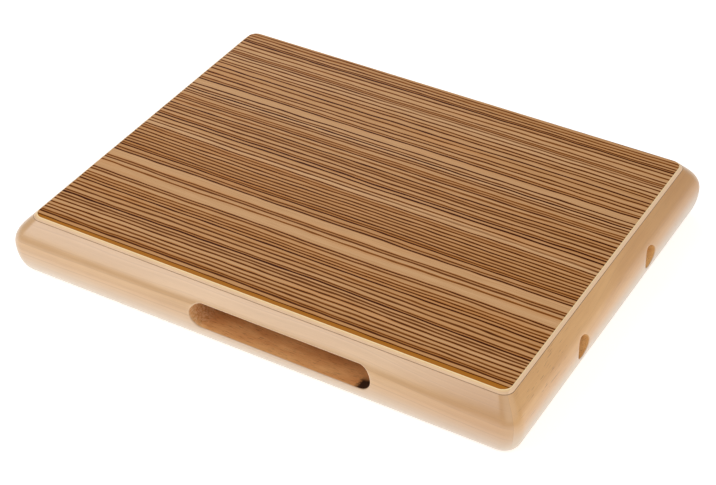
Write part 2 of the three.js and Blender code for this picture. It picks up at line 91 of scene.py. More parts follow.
# Softened edges
PLATE_EDGE_ROUNDING = 0.45
JOINT_GROOVE = 0.05
SLOT_ROUNDING = 1.3
SLOT_INNER_ROUNDING = 0.8
PORT_ROUNDING = 0.7
ARRIS = 0.35

# Fineness of the meshes
MERGE_DIGITS = 4
COLUMN_STEP = 5
CORNER_STEPS = 10
SHOULDER_STEPS = 20
TUCK_STEPS = 16
ROUNDING_STEPS = 5
HOLE_STEPS = 28
INNER_ROWS = 12
STRAIGHT_STEPS = 24
SLOT_WALL_ROWS = 8
PORT_WALL_ROWS = 6
PATCH_REACH = 1.5
PATCH_CLEARANCE = 0.8
SCREW_SEGMENTS = 24
WASHER_SEGMENTS = 64
BEVEL_ROWS = (0.75, 1.3, 1.9)

# Upper edge of the plate as [depth, swell], in shares of PLATE_EDGE_ROUNDING
SOFT_EDGE = [(0, -1), (0.07, -0.45), (0.3, 0.06), (0.7, 0.66)]

# Wood screws, with a cross recess in shares of the head's radius
WOOD_SCREW_RADIUS = 1.5
WOOD_SCREW_CORE = 1.05
WOOD_SCREW_PITCH = 1.2
WOOD_SCREW_TIP = 2.5
CROSS_REACH, CROSS_WIDTH = 0.62, 0.13
CROSS_FLOOR_REACH, CROSS_FLOOR_WIDTH = 0.34, 0.07

# Camera as in the photograph: the plate's four edges give its angles and its distance
CAMERA_AZIMUTH = 30.02
CAMERA_ELEVATION = 37.43
CAMERA_DISTANCE = 1472.13
CAMERA_TARGET = (15.47, -36.28, 25)
CAMERA_LENS = 92.78
SENSOR_WIDTH = 36

# Stage: floor and sky, and the lights as [name, place, aim, size, power, tint] in metres and watts
FLOOR_REACH = 12
FLOOR_GLOW = 0.5
SKY_STRENGTH = 0.5
LIGHTS = [
    ("front_softbox", (-1.12, -1.34, 1.42), (0, 0, 0), (1.6, 1.5), 14, (1, 1, 1)),
    ("right_softbox", (1.6, -0.8, 1.65), (0, 0, 0), (3.0, 2.0), 13.5, (1, 0.93, 0.84)),
    ("rear_card", (-1.15, 1.6, 1.2), (-0.2, 0.15, 0), (0.9, 0.9), 8, (1, 1, 1)),
]


# Mesh building

def add_object(name, data):
    """A new object in the scene."""
    made = bpy.data.objects.new(name, data)
    bpy.context.scene.collection.objects.link(made)
    return made


def to_mesh(name, shape, smooth_angle=35):
    """A mesh object from a shape in millimetres. Points in one place become one."""
    mesh = bpy.data.meshes.new(name)
    places, index, kept = {}, [], []
    for point in shape.points:
        key = tuple(round(part, MERGE_DIGITS) for part in point)
        if key not in places:
            places[key] = len(kept)
            kept.append([part * MM for part in point])
        index.append(places[key])
    faces, parts = [], []
    for face, part in zip(shape.faces, shape.parts):
        corners = [index[i] for i in face]
        corners = [c for i, c in enumerate(corners) if c != corners[i - 1]]
        if len(set(corners)) > 2:
            faces.append(corners)
            parts.append(part)
    mesh.from_pydata(kept, [], faces)
    mesh.polygons.foreach_set("material_index", parts)
    mesh.validate()
    mesh.shade_smooth()
    mesh.set_sharp_from_angle(angle=math.radians(smooth_angle))
    return add_object(name, mesh)


class Shape:
    """Points and faces, gathered before they become a mesh. A face's part is its material."""

    def __init__(self):
        self.points = []
        self.faces = []
        self.parts = []

    def add(self, points, faces, part=0, turned=False):
        start = len(self.points)
        self.points += [tuple(p) for p in points]
        for face in faces:
            corners = [start + i for i in face]
            self.faces.append(corners[::-1] if turned else corners)
            self.parts.append(part)

    def strip(self, rows, closed=False, part=0, turned=False):
        """Quads between rows of points, each row as long as the next."""
        width = len(rows[0])
        faces = []
        for level in range(len(rows) - 1):
            for i in range(width if closed else width - 1):
                a, b = level * width + i, level * width + (i + 1) % width
                faces.append([a, b, b + width, a + width])
        self.add([p for row in rows for p in row], faces, part, turned)

    def fan(self, points, turned=False):
        """One flat face over a loop of points."""
        self.add(points, [range(len(points))], turned=turned)


def finish_piece(piece, body, slot_name, materials, *nodes):
    """Materials, body and CAD nodes of a piece."""
    for material in materials:
        piece.data.materials.append(material)
    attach(piece, body)
    if nodes:
        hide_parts(*nodes)


def triangulate(points, edges):
    """Triangles over flat points that keep the edges: new points, edges, faces and, for each
    new point, the given points that it came from."""
    inside_only, merge_within = 1, 1e-7
    return delaunay_2d_cdt([Vector(p) for p in points], edges, [], inside_only, merge_within)


def loop_edges(start, count):
    """Edges round a closed loop of points, numbered from start."""
    return [(start + k, start + (k + 1) % count) for k in range(count)]


# Body outline

def side_profile():
    """[depth below the plate's top, swell past the plate's edge], from top to back."""
    shoulder = SHOULDER_FULLNESS * (SIDE_SWELL - PLATE_BEVEL)
    corners = [
        Vector((PLATE_BEVEL, PLATE_BEVEL)),
        Vector((PLATE_BEVEL + shoulder, PLATE_BEVEL + shoulder)),
        Vector((WIDEST_DEPTH - SIDE_FULLNESS * (WIDEST_DEPTH - PLATE_BEVEL), SIDE_SWELL)),
        Vector((WIDEST_DEPTH, SIDE_SWELL)),
    ]
    profile = [(0, 0)]
    for i in range(SHOULDER_STEPS + 1):
        t = i / SHOULDER_STEPS
        weights = [(1 - t) ** 3, 3 * t * (1 - t) ** 2, 3 * t * t * (1 - t), t ** 3]
        depth = sum(w * corner.x for w, corner in zip(weights, corners))
        swell = sum(w * corner.y for w, corner in zip(weights, corners))
        profile.append((depth, swell))
    tuck_depth = PLATE_TOP_Z - WIDEST_DEPTH
    for i in range(1, TUCK_STEPS + 1):
        angle = math.pi / 2 * i / TUCK_STEPS
        depth = WIDEST_DEPTH + tuck_depth * math.sin(angle)
        profile.append((depth, SIDE_SWELL - BACK_TUCK * (1 - math.cos(angle))))
    return profile


SIDE_PROFILE = side_profile()


def swell_at(depth):
    for (d0, s0), (d1, s1) in zip(SIDE_PROFILE, SIDE_PROFILE[1:]):
        if depth <= d1:
            return s0 + (s1 - s0) * (depth - d0) / (d1 - d0)
    return SIDE_PROFILE[-1][1]


def corner_radius(swell):
    return PLATE_CORNER_RADIUS + (BODY_CORNER_RADIUS - PLATE_CORNER_RADIUS) * swell / SIDE_SWELL


def outline(swell, z):
    """Rounded rectangle of the body, counterclockwise seen from above."""
    radius = corner_radius(swell)
    centre_x = PLATE_HALF_X + swell - radius
    centre_y = PLATE_HALF_Y + swell - radius
    ring = []
    for corner, (side_x, side_y) in enumerate([(1, 1), (-1, 1), (-1, -1), (1, -1)]):
        for i in range(2 * CORNER_STEPS + 1):
            angle = math.pi / 2 * (corner + i / (2 * CORNER_STEPS))
            x = side_x * centre_x + radius * math.cos(angle)
            y = side_y * centre_y + radius * math.sin(angle)
            ring.append((x, y, z))
    return ring


def ply(name, sections):
    """One layer of the plate from [depth, swell] sections, top first."""
    shape = Shape()
    rings = [outline(swell, PLATE_TOP_Z - depth) for depth, swell in sections]
    shape.strip(rings, closed=True, turned=True)
    shape.fan(rings[0])
    shape.fan(rings[-1], turned=True)
    return to_mesh(name, shape, smooth_angle=60)


# Holes in a rail's outer and inner face

class Hole:
    """A slot with round ends, or a round hole, at a place along a rail."""

    def __init__(self, along, height, length, width):
        self.along, self.height = along, height
        self.half = (length - width) / 2
        self.radius = width / 2

    def distance(self, along, height):
        """Distance from the rim, below zero inside the hole."""
        beside = max(abs(along - self.along) - self.half, 0)
        return math.hypot(beside, height - self.height) - self.radius

    def loop(self, offset):
        """Rim moved outwards by an offset."""
        radius = self.radius + offset
        straight = [i / STRAIGHT_STEPS for i in range(STRAIGHT_STEPS)] if self.half > 0 else []
        loop = []
        for side in (1, -1):
            centre = self.along + side * self.half
            for i in range(HOLE_STEPS):
                angle = math.pi * (i / HOLE_STEPS - 0.5) + (0 if side > 0 else math.pi)
                loop.append((centre + radius * math.cos(angle), self.height + radius * math.sin(angle)))
            for t in straight:
                loop.append((self.along + side * self.half * (1 - 2 * t), self.height + side * radius))
        return loop


def rounding(radius):
    """[offset from the rim, depth below the face] of a rounded rim, from the hole outwards."""
    angles = [math.pi / 2 * i / ROUNDING_STEPS for i in range(ROUNDING_STEPS + 1)]
    return [(radius * (1 - math.cos(a)), radius * (1 - math.sin(a))) for a in angles]


def patch_round_hole(shape, columns, rows, hole, rim, place):
    """Triangles between a hole's rounded rim and the grid, and the grid cells that they fill."""
    reach = hole.radius + rim + PATCH_REACH
    i0 = max(i for i, s in enumerate(columns) if s <= hole.along - hole.half - reach)
    i1 = min(i for i, s in enumerate(columns) if s >= hole.along + hole.half + reach)
    j0 = max(j for j, z in enumerate(rows) if z <= hole.height - reach)
    j1 = min(j for j, z in enumerate(rows) if z >= hole.height + reach)
    border = [(columns[i], rows[j0]) for i in range(i0, i1)]
    border += [(columns[i1], rows[j]) for j in range(j0, j1)]
    border += [(columns[i], rows[j1]) for i in range(i1, i0, -1)]
    border += [(columns[i0], rows[j]) for j in range(j1, j0, -1)]
    flat, sunk, edges = [], [], []
    loops = [(border, 0)] + [(hole.loop(offset), sink) for offset, sink in rounding(rim)]
    for loop, sink in loops:
        edges += loop_edges(len(flat), len(loop))
        flat += loop
        sunk += [sink] * len(loop)
    inner = [(columns[i], rows[j]) for i in range(i0 + 1, i1) for j in range(j0 + 1, j1)]
    inner = [p for p in inner if hole.distance(*p) > rim + PATCH_CLEARANCE]
    flat += inner
    sunk += [0] * len(inner)
    made = triangulate(flat, edges)
    rim_points = range(len(border), len(border) + len(hole.loop(0)))
    faces = [face for face in made[2] if not all(made[3][i][0] in rim_points for i in face)]
    points = [place(*flat[source[0]], sunk[source[0]]) for source in made[3]]
    shape.add(points, faces)
    return {(i, j) for i in range(i0, i1) for j in range(j0, j1)}


def face_with_holes(columns, rows, holes, rim, place):
    """Grid of quads with a patch round each hole; place(along, height, sink) gives its points."""
    shape = Shape()
    taken = set()
    for hole in holes:
        taken |= patch_round_hole(shape, columns, rows, hole, rim, place)
    for i in range(len(columns) - 1):
        for j in range(len(rows) - 1):
            if (i, j) not in taken:
                corners = [(i, j), (i + 1, j), (i + 1, j + 1), (i, j + 1)]
                shape.add([place(columns[a], rows[b], 0) for a, b in corners], [[0, 1, 2, 3]])
    return shape


# Rails

class Side:
    """One side of the frame: its long direction, its outward direction and its half sizes."""

    def __init__(self, along, out, half, cavity, cavity_along):
        self.along, self.out = along, out
        self.half, self.cavity, self.cavity_along = half, cavity, cavity_along

    def point(self, s, a, z):
        return (s * self.along[0] + a * self.out[0], s * self.along[1] + a * self.out[1], z)

    def track(self, a, z, radius, start):
        """Points of one long edge from start to the mitre, round the corner's radius."""
        end = a - self.cavity + self.cavity_along
        centre = end - radius
        straight = [start + (centre - start) * k / CORNER_STEPS for k in range(CORNER_STEPS)]
        points = [(s, a) for s in straight]
        for k in range(CORNER_STEPS + 1):
            angle = math.pi / 4 * k / CORNER_STEPS
            points.append((centre + radius * math.sin(angle), a - radius + radius * math.cos(angle)))
        return points


FRONT = Side((1, 0), (0, -1), PLATE_HALF_Y, CAVITY_HALF_Y, CAVITY_HALF_X)
REAR = Side((-1, 0), (0, 1), PLATE_HALF_Y, CAVITY_HALF_Y, CAVITY_HALF_X)
LEFT = Side((0, -1), (-1, 0), PLATE_HALF_X, CAVITY_HALF_X, CAVITY_HALF_Y)
RIGHT = Side((0, 1), (1, 0), PLATE_HALF_X, CAVITY_HALF_X, CAVITY_HALF_Y)


def rail_section(side):
    """Cross-section of a rail as [across, height, corner radius], and how many are outer skin."""
    skin = [(PLATE_DEPTH, swell_at(PLATE_DEPTH))]
    skin += [(depth, swell) for depth, swell in SIDE_PROFILE if depth > PLATE_DEPTH]
    outer = [(side.half + w, PLATE_TOP_Z - d, corner_radius(w)) for d, w in skin]
    rabbet = side.cavity + RABBET_WIDTH
    low, high = PANEL_TOP_Z + ARRIS, outer[0][1]
    inner = [(side.cavity, low + (high - low) * k / INNER_ROWS, 0) for k in range(INNER_ROWS + 1)]
    return outer + [
        (rabbet + ARRIS, 0, RABBET_CORNER_RADIUS + ARRIS),
        (rabbet, ARRIS, RABBET_CORNER_RADIUS),
        (rabbet, PANEL_TOP_Z, RABBET_CORNER_RADIUS),
        (side.cavity + ARRIS, PANEL_TOP_Z, 0),
    ] + inner, len(outer)


def rail_end(shape, side, section, start, end):
    """Stretch of a rail that turns round the corner to its mitre, with the mitre's face."""
    tracks = []
    for across, z, radius in section + section[:1]:
        track = side.track(across, z, radius, start)
        tracks.append([side.point(end * s, a, z) for s, a in track])
    shape.strip(tracks, turned=end > 0)
    shape.fan([track[-1] for track in tracks[:-1]], turned=end < 0)


def rail(name, side, holes, outer_rim, inner_rim, tunnel):
    """A mitred rail with its holes, whose walls the tunnel adds as part 1."""
    section, skin = rail_section(side)
    start = side.cavity_along - COLUMN_STEP
    count = round(2 * start / COLUMN_STEP)
    columns = [-start + 2 * start * k / count for k in range(count + 1)]
    shape = Shape()
    for end in (-1, 1):
        rail_end(shape, side, section, start, end)
    heights = [z for a, z, radius in section[:skin]][::-1]
    outside = face_with_holes(
        columns, heights, holes, outer_rim,
        lambda s, z, sink: side.point(s, side.half + swell_at(PLATE_TOP_Z - z) - sink, z))
    shape.add(outside.points, outside.faces)
    heights = [z for a, z, radius in section[-INNER_ROWS - 1:]]
    inside = face_with_holes(
        columns, heights, tunnel.inner_holes(holes), inner_rim,
        lambda s, z, sink: side.point(s, side.cavity + sink, z))
    shape.add(inside.points, inside.faces, turned=True)
    for run in (section[skin - 1:-INNER_ROWS], [section[-1], section[0]]):
        shape.strip([[side.point(s, a, z) for s in columns] for a, z, radius in run], turned=True)
    for hole in holes:
        tunnel.wall(shape, side, hole)
    return to_mesh(name, shape)


def wall_rows(side, hole, rim_rounding, floor, count):
    """Rows of points from a hole's rounded rim in the outer face to a flat floor inside."""
    rows = []
    for k in range(count + 1):
        row = []
        for s, z in hole.loop(0):
            outside = side.half + swell_at(PLATE_TOP_Z - z) - rim_rounding
            row.append(side.point(s, outside + (floor - outside) * k / count, z))
        rows.append(row)
    return rows


class SlotTunnel:
    """A slot that runs straight through the rail."""

    def inner_holes(self, holes):
        return holes

    def wall(self, shape, side, hole):
        inside = side.cavity + SLOT_INNER_ROUNDING
        rows = wall_rows(side, hole, SLOT_ROUNDING, inside, SLOT_WALL_ROWS)
        shape.strip(rows, closed=True, part=1)


class PortTunnel:
    """A blind bore for the screw head, with a smaller hole on to the cavity."""

    def inner_holes(self, holes):
        return [Hole(h.along, h.height, SCREW_HOLE_DIAMETER, SCREW_HOLE_DIAMETER) for h in holes]

    def wall(self, shape, side, hole):
        bore = self.inner_holes([hole])[0].loop(0)
        rows = wall_rows(side, hole, PORT_ROUNDING, PORT_FLOOR_X, PORT_WALL_ROWS)
        rows.append([side.point(s, PORT_FLOOR_X, z) for s, z in bore])
        rows.append([side.point(s, side.cavity + ARRIS, z) for s, z in bore])
        shape.strip(rows, closed=True, part=1)


# Small hardware

def along_x(start, middle):
    """Places a turned piece in the model, with its axis along X."""
    return lambda along, y, z: (start + along, middle.y + y, middle.z + z)


def ring(place, along, radii):
    """Points round the axis, one for each radius; place puts them into the model."""
    angles = [2 * math.pi * k / len(radii) for k in range(len(radii))]
    return [place(along, r * math.cos(t), r * math.sin(t)) for r, t in zip(radii, angles)]


def lathe(shape, profile, place, segments=SCREW_SEGMENTS):
    """Turned form from [radius, distance along the axis]."""
    shape.strip([ring(place, along, [radius] * segments) for radius, along in profile], closed=True)


def cross_outline(reach, width):
    """Twelve corners of a cross recess, counterclockwise."""
    corners = []
    for quarter in range(4):
        angle = math.pi / 2 * quarter
        for along, aside in [(reach, -width), (reach, width), (width, width)]:
            y = along * math.cos(angle) - aside * math.sin(angle)
            z = along * math.sin(angle) + aside * math.cos(angle)
            corners.append((y, z))
    return corners


def screw_head(shape, radius, top, place, recess):
    """Flat or domed head top with a cross recess cut into it."""
    reach, width = radius * CROSS_REACH, radius * CROSS_WIDTH
    angles = [2 * math.pi * k / SCREW_SEGMENTS for k in range(SCREW_SEGMENTS)]
    edge = [(radius * math.cos(t), radius * math.sin(t)) for t in angles]
    cross = cross_outline(reach, width)
    deep = cross_outline(radius * CROSS_FLOOR_REACH, radius * CROSS_FLOOR_WIDTH)
    flat = edge + cross
    edges = loop_edges(0, len(edge)) + loop_edges(len(edge), len(cross))
    made = triangulate(flat, edges)
    faces = []
    for face in made[2]:
        middle = sum((made[0][i] for i in face), Vector((0, 0))) / len(face)
        y, z = abs(middle.x), abs(middle.y)
        if min(y, z) >= width or max(y, z) >= reach:
            faces.append(face)
    kept = [flat[source[0]] for source in made[3]]
    shape.add([place(top(math.hypot(*p)), *p) for p in kept], faces)
    upper = [place(top(math.hypot(*p)), *p) for p in cross]
    lower = [place(top(0) - recess, *p) for p in deep]
    shape.strip([upper, lower], closed=True)
    shape.fan(lower)


def countersunk_screw(name, node):
    """Wood screw of the back panel, head down, with a cross recess and a thread."""
    low, high, middle = box_mm(node)
    head = (high.x - low.x) / 2
    rim, cone, recess = 0.15, 1.6, 1.3

    def place(along, y, z):
        return (middle.x + y, middle.y + z, low.z - along)

    shape = Shape()
    screw_head(shape, head, lambda r: 0, place, recess)
    profile = [(head, 0), (head, -rim), (WOOD_SCREW_RADIUS, -cone)]
    lathe(shape, profile, place)
    wood_thread(shape, -cone, low.z - high.z, place)
    return to_mesh(name, shape)


def thread(shape, radius, core, start, end, pitch, place):
    """Helical ridge between two places on the axis."""
    per_turn = 8
    count = max(int(abs(end - start) / pitch * per_turn), 1)
    rows = []
    for i in range(count + 1):
        along = start + (end - start) * i / count
        fade = min(1, i / per_turn, (count - i) / per_turn)
        radii = []
        for k in range(SCREW_SEGMENTS):
            turn = along / pitch + k / SCREW_SEGMENTS
            ridge = 1 - abs(2 * (turn - math.floor(turn)) - 1)
            radii.append(core + (radius - core) * (ridge * fade + (1 - fade)))
        rows.append(ring(place, along, radii))
    shape.strip(rows, closed=True)


def wood_thread(shape, start, end, place):
    """Thread and tip of a wood screw between two places on its axis."""
    radius, core, tip = WOOD_SCREW_RADIUS, WOOD_SCREW_CORE, end + WOOD_SCREW_TIP
    thread(shape, radius, core, start, tip, WOOD_SCREW_PITCH, place)
    lathe(shape, [(radius, tip), (core, tip), (0, end)], place)


def anchor_screw(name, node):
    """Pan-head wood screw of an anchor plate, with a cross recess."""
    low, high, middle = box_mm(node)
    head = (high.y - low.y) / 2
    head_height, edge_drop, rim, undercut, recess = 2, 0.45, 0.2, 0.15, 1.2
    seat = high.x - head_height
    place = along_x(seat, middle)

    def dome(r):
        return head_height * (1 - edge_drop * (r / head) ** 2)

    shape = Shape()
    screw_head(shape, head, dome, place, recess)
    profile = [(head, dome(head)), (head, rim), (head - undercut, 0), (WOOD_SCREW_RADIUS, 0)]
    lathe(shape, profile, place)
    wood_thread(shape, 0, low.x - seat, place)
    return to_mesh(name, shape)


def tension_screw(name, node):
    """Socket head screw with a knurled head, a chamfered hex socket and a thread."""
    low, high, middle = box_mm(node)
    head_height, head, shank, key_size, socket_depth = 6, 5, 3, 5, 3
    plain_shank, thread_depth, pitch, end_chamfer = 6, 0.55, 1, 0.8
    knurls, per_knurl, knurl_depth = 48, 2, 0.12
    socket = key_size / math.sqrt(3)
    seat = high.x - head_height
    place = along_x(seat, middle)
    count = knurls * per_knurl

    def knurled(radius, along, depth=0):
        return ring(place, along, [radius - depth * (k % per_knurl) for k in range(count)])

    def hexagon(radius, along):
        angles = [2 * math.pi * k / count for k in range(count)]
        turns = [(t % (math.pi / 3)) - math.pi / 6 for t in angles]
        flat = radius * math.cos(math.pi / 6)
        return ring(place, along, [flat / math.cos(turn) for turn in turns])

    shape = Shape()
    shape.strip([
        knurled(shank, 0),
        knurled(head - 0.3, 0),
        knurled(head, 0.4, knurl_depth),
        knurled(head, head_height - 0.8, knurl_depth),
        knurled(head - 0.15, head_height - 0.3),
        knurled(head - 0.6, head_height),
        knurled(socket + 0.25, head_height),
        hexagon(socket, head_height - 0.4),
        hexagon(socket, head_height - socket_depth),
        knurled(0, head_height - socket_depth - 0.6),
    ], closed=True)
    end = low.x - seat
    chamfer, core = end + end_chamfer, shank - thread_depth
    lathe(shape, [(shank, 0), (shank, -plain_shank)], place)
    thread(shape, shank, core, -plain_shank, chamfer, pitch, place)
    profile = [(shank, chamfer), (core, chamfer), (shank - 1, end), (0, end)]
    lathe(shape, profile, place)
    return to_mesh(name, shape)


def washer(name, node):
    """Pressed washer with slightly rounded rims."""
    low, high, middle = box_mm(node)
    outer, thick, bore, soft = (high.y - low.y) / 2, high.x - low.x, 3.2, 0.25
    profile = [(bore, soft), (bore + soft, 0), (outer - soft, 0), (outer, soft), (outer, thick - soft),
               (outer - soft, thick), (bore + soft, thick), (bore, thick - soft), (bore, soft)]
    shape = Shape()
    lathe(shape, profile, along_x(low.x, middle), WASHER_SEGMENTS)
    return to_mesh(name, shape)


# Materials

# Sockets of a mix node that mixes colours
MIX_FACTOR, MIX_A, MIX_B, MIX_RESULT = 0, 6, 7, 2


class Paint:
    """A material whose nodes are added by short calls, in millimetres of the object's frame."""

    def __init__(self, name):
        self.material = bpy.data.materials.new(name)
        self.material.use_nodes = True
        self.tree = self.material.node_tree
        self.shader = self.tree.nodes["Principled BSDF"]
        self.coords = self.tree.nodes.new("ShaderNodeTexCoord").outputs["Object"]

    def node(self, kind, inputs=(), **settings):
        made = self.tree.nodes.new(kind)
        for key, value in settings.items():
            setattr(made, key, value)
        for key, value in dict(inputs).items():
            if isinstance(value, bpy.types.NodeSocket):
                self.tree.links.new(value, made.inputs[key])
            else:
                made.inputs[key].default_value = value
        return made

    def place(self, spans, shift=(0, 0, 0)):
        """Object coordinates divided by spans in millimetres, then shifted."""
        scale = [1 / (span * MM) for span in spans]
        inputs = {"Vector": self.coords, "Scale": scale, "Location": shift}
        return self.node("ShaderNodeMapping", inputs).outputs["Vector"]

    def axes(self):
        """Object coordinates X, Y and Z in millimetres."""
        return self.separate(self.place((1, 1, 1)))

    def noise(self, spans, shift=(0, 0, 0), detail=3, roughness=0.5):
        """Noise with features as long as the spans, in millimetres."""
        inputs = {"Vector": self.place(spans, shift), "Scale": 1, "Detail": detail, "Roughness": roughness}
        return self.node("ShaderNodeTexNoise", inputs).outputs["Fac"]

    def grain(self, along, long, wide, shift, detail=3, roughness=0.5):
        """Noise that is long along one axis and narrow across it."""
        spans = [long if axis == along else wide for axis in "XYZ"]
        return self.noise(spans, shift, detail, roughness)

    def noise_1d(self, value, span, detail):
        inputs = {"W": value, "Scale": 1 / span, "Detail": detail, "Roughness": 0.5}
        return self.node("ShaderNodeTexNoise", inputs, noise_dimensions="1D").outputs["Fac"]

    def cells_1d(self, value, scale, randomness):
        """Distance to the nearest cell point, in cells, and the cell's random colour."""
        inputs = {"W": value, "Scale": scale, "Randomness": randomness}
        made = self.node("ShaderNodeTexVoronoi", inputs, voronoi_dimensions="1D")
        return made.outputs["Distance"], made.outputs["Color"]

    def math(self, operation, a, b=0.0, c=0.0, clamp=False):
        made = self.node("ShaderNodeMath", {0: a, 1: b, 2: c}, operation=operation, use_clamp=clamp)
        return made.outputs[0]

    def times(self, a, b, plus=None, clamp=False):
        """a times b, plus a third value if there is one."""
        if plus is None:
            return self.math("MULTIPLY", a, b)
        return self.math("MULTIPLY_ADD", a, b, plus, clamp)

    def span(self, value, low, high, to_low=0.0, to_high=1.0):
        """Smooth step from to_low to to_high, as the value goes from low to high."""
        inputs = {"Value": value, "From Min": low, "From Max": high, "To Min": to_low, "To Max": to_high}
        made = self.node("ShaderNodeMapRange", inputs, interpolation_type="SMOOTHSTEP")
        return made.outputs["Result"]

    def ramp(self, value, stops):
        """Colour ramp through (place, colour) stops."""
        made = self.node("ShaderNodeValToRGB", {"Fac": value})
        elements = made.color_ramp.elements
        while len(elements) < len(stops):
            elements.new(0.5)
        for element, (position, colour) in zip(elements, stops):
            element.position = position
            element.color = (*colour, 1)
        return made.outputs["Color"]

    def mix(self, amount, a, b):
        """Colour between a and b, each a socket or a linear colour."""
        a, b = [c if isinstance(c, bpy.types.NodeSocket) else (*c, 1) for c in (a, b)]
        inputs = {MIX_FACTOR: amount, MIX_A: a, MIX_B: b}
        return self.node("ShaderNodeMix", inputs, data_type="RGBA").outputs[MIX_RESULT]

    def over(self, colour, tone, value, low, high, share=1.0):
        """A tone laid over a colour, up to a share, as the value goes from low to high."""
        return self.mix(self.span(value, low, high, 0.0, share), colour, tone)

    def separate(self, vector):
        return self.node("ShaderNodeSeparateXYZ", {"Vector": vector}).outputs

    def finish(self, colour, rough, relief=None, **settings):
        """The material, from its colour, its roughness as [value, spread, least], its relief as
        [height, depth in mm, strength] and the shader's other settings."""
        links, inputs = self.tree.links, self.shader.inputs
        links.new(colour, inputs["Base Color"])
        links.new(self.times(*rough), inputs["Roughness"])
        if relief:
            sockets = {"Height": relief[0], "Distance": relief[1] * MM, "Strength": relief[2]}
            links.new(self.node("ShaderNodeBump", sockets).outputs["Normal"], inputs["Normal"])
        for key, value in settings.items():
            inputs[key.replace("_", " ")].default_value = value
        return self.material


def srgb(red, green, blue):
    """Linear colour from screen values of 0 to 255."""
    linear = []
    for value in (red, green, blue):
        value /= 255
        linear.append(value / 12.92 if value <= 0.04045 else ((value + 0.055) / 1.055) ** 2.4)
    return tuple(linear)


# Tone of the veneer across the plate: (place in mm from the middle, 0 dark to 1 pale)
VENEER_TONES = [
    (-158, 0.30), (-146, 0.42), (-128, 0.62), (-112, 0.34), (-96, 0.34), (-88, 0.5), (-77, 0.7),
    (-68, 0.62), (-55, 0.66), (-45, 0.30), (-29, 0.26), (-16, 0.40), (-5, 0.95), (4, 0.36), (14, 0.55),
    (27, 0.34), (36, 0.62), (47, 0.55), (55, 0.86), (66, 0.60), (80, 0.55), (92, 0.30), (106, 0.55),
    (119, 0.95), (130, 0.62), (140, 0.66), (152, 0.40),
]

# Veneer in millimetres: width of the band along the front edge, pitch of the lines, how far
# they crowd together over CROWD_SPAN, how far slow, quick and fine waves bend them, and how
# many cells for thin lines there are to a main line
EDGE_BAND = 4.2
LINE_PITCH = 3.95
CROWD_SPAN = 22
CROWD_SHIFT = 40
CROWDING = 2.1
SLOW_BEND = 6.0
QUICK_BEND = 1.4
FINE_BEND = 1.3
THIN_LINES = 2.1
TONE_MARGIN = 2
TONE_DRIFT = 0.6
GROUND_DARK = srgb(190, 136, 82)
GROUND_PALE = srgb(224, 182, 136)
GROUND_WARM = srgb(210, 144, 84)
GROUND_FIBRE = srgb(146, 88, 42)
GROUND_ROSE = srgb(230, 180, 134)
GROUND_HALO = srgb(164, 94, 14)
VENEER_LINE = srgb(60, 16, 0)
BAND_BROWN = srgb(174, 108, 26)
# Paler cut edge of the face veneer, with a painted highlight on its rounded top edge
CUT_VENEER_HIGHLIGHT = srgb(250, 224, 178)


def line_cells(paint, across):
    """One cell for each line: about LINE_PITCH wide, but closer in some bands than in others."""
    crowd = paint.noise_1d(paint.math("ADD", across, CROWD_SHIFT), CROWD_SPAN, detail=1)
    return paint.times(crowd, CROWDING, paint.times(across, 1 / LINE_PITCH))


def veneer_lines(paint, cells, per_mm, shift, randomness, half_width, share):
    """Dark lines, one in each cell at a random place, and a soft halo round each of them.
    share is how many show, and randomness how far they stray from even steps."""
    distance, random_colour = paint.cells_1d(paint.math("SUBTRACT", cells, shift), 1, randomness)
    first, second, third = paint.separate(random_colour)
    fray = paint.noise((15, 1.0, 400), (shift, 5, 0), detail=2)
    width = paint.math("MINIMUM", paint.times(per_mm, half_width), 0.27)
    width = paint.times(width, paint.times(first, 0.5, 0.66))
    width = paint.times(width, paint.span(fray, 0.2, 0.8, 0.86, 1.14))
    line = paint.span(paint.math("DIVIDE", distance, width), 1.15, 0.85)
    shown = paint.span(second, 0.95 - share, 1.0 - share)
    strength = paint.times(shown, paint.times(third, 0.4, 0.66, clamp=True))
    from_line = paint.math("DIVIDE", distance, paint.math("MAXIMUM", per_mm, 0.05))
    halo = paint.times(paint.span(from_line, 1.5, 0.75), shown)
    return paint.times(line, strength), halo


